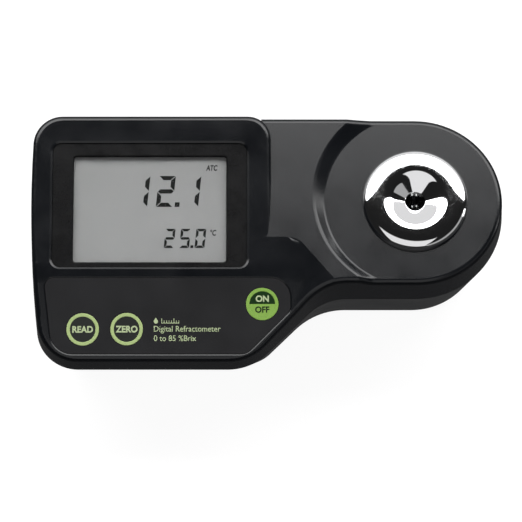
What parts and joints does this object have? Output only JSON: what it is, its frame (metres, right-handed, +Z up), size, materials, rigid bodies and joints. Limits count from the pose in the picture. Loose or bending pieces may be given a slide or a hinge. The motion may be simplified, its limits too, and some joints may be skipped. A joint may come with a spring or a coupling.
{
  "type": "digital refractometer",
  "caption": "Handheld digital refractometer: angled display block with membrane keys, and a round arm that carries a polished sample well over a prism.",
  "frame": {"origin": "middle of the footprint, on the table", "axes": "+X along the instrument towards the sample well, +Y to the back away from the user, +Z up"},
  "size_m": [0.192, 0.102, 0.067],
  "materials": {
    "case_plastic": "moulded satin black ABS with a fine texture",
    "bezel_plastic": "fine matte black",
    "window_plastic": "clear polished acrylic",
    "overlay_film": "velvet dark grey polyester film",
    "key_plastic": "dark key face with a lime green ring",
    "lcd_glass": "reflective grey liquid crystal glass",
    "well_steel": "polished stainless steel",
    "prism_glass": "polished optical glass",
    "seal_rubber": "black silicone rubber",
    "foot_rubber": "matte black rubber",
    "screw_steel": "zinc plated",
    "dome_steel": "stainless spring steel",
    "inner_plastic": "moulded black plastic",
    "circuit_board": "green solder mask",
    "chip_plastic": "moulded epoxy",
    "flex_film": "amber polyimide film",
    "led_epoxy": "clear amber epoxy",
    "pad_foam": "closed-cell foam",
    "battery_can": "plain wrapped steel can",
    "lead_insulation": "stranded wire insulation"
  },
  "bodies": {
    "case": {"battery": "battery_can", "battery_housing": "inner_plastic", "battery_leads": "lead_insulation", "battery_snap": "inner_plastic", "board_components": "chip_plastic", "board_screws": "screw_steel", "bottom_shell": "case_plastic", "case_gasket": "seal_rubber", "case_screws": "screw_steel", "collimating_lens": "prism_glass", "contact_strips": "seal_rubber", "display_bezel": "bezel_plastic", "display_window": "window_plastic", "dome_on_off": "dome_steel", "dome_read": "dome_steel", "dome_zero": "dome_steel", "image_sensor": "chip_plastic", "keypad_board": "circuit_board", "keypad_overlay": "overlay_film", "keypad_screws": "screw_steel", "keypad_tail": "flex_film", "lcd_holder": "inner_plastic", "lcd_panel": "lcd_glass", "led": "led_epoxy", "led_board": "circuit_board", "light_slit": "inner_plastic", "main_board": "circuit_board", "microcontroller": "chip_plastic", "optics_body": "inner_plastic", "optics_flex": "flex_film", "optics_screws": "screw_steel", "prism": "prism_glass", "prism_seal": "seal_rubber", "rubber_feet": "foot_rubber", "sensor_board": "circuit_board", "temperature_probe": "chip_plastic", "top_shell": "case_plastic", "well_ring": "well_steel", "well_seal": "seal_rubber"},
    "key_read": {"key_read": "key_plastic"},
    "key_zero": {"key_zero": "key_plastic"},
    "key_on_off": {"key_on_off": "key_plastic"},
    "cover_seal": {"battery_cover_seal": "seal_rubber"},
    "battery_cover": {"battery_cover": "case_plastic", "battery_pad": "pad_foam"}
  },
  "joints": [
    {"name": "key_read_press", "type": "slide", "parent": "case", "child": "key_read", "axis": [0, 0.2113, -0.9774], "range_m": [0, 0.0004], "stiffness_N_per_m": 5000, "deforming": ["dome_read"]},
    {"name": "key_zero_press", "type": "slide", "parent": "case", "child": "key_zero", "axis": [0, 0.2113, -0.9774], "range_m": [0, 0.0004], "stiffness_N_per_m": 5000, "deforming": ["dome_zero"]},
    {"name": "key_on_off_press", "type": "slide", "parent": "case", "child": "key_on_off", "axis": [0, 0.2113, -0.9774], "range_m": [0, 0.0004], "stiffness_N_per_m": 5000, "deforming": ["dome_on_off"]},
    {"name": "battery_cover_drop", "type": "slide", "parent": "case", "child": "cover_seal", "axis": [0, 0, -1], "range_m": [0, 0.0054]},
    {"name": "battery_cover_turn", "type": "hinge", "parent": "cover_seal", "child": "battery_cover", "pos_m": [0.0125, 0.015, 0.002], "axis": [0, 0, -1], "range_deg": [0, 90]}
  ],
  "couplings": [
    {"joint": "battery_cover_turn", "follows": "battery_cover_drop", "rad_per_m": 290.89}
  ]
}
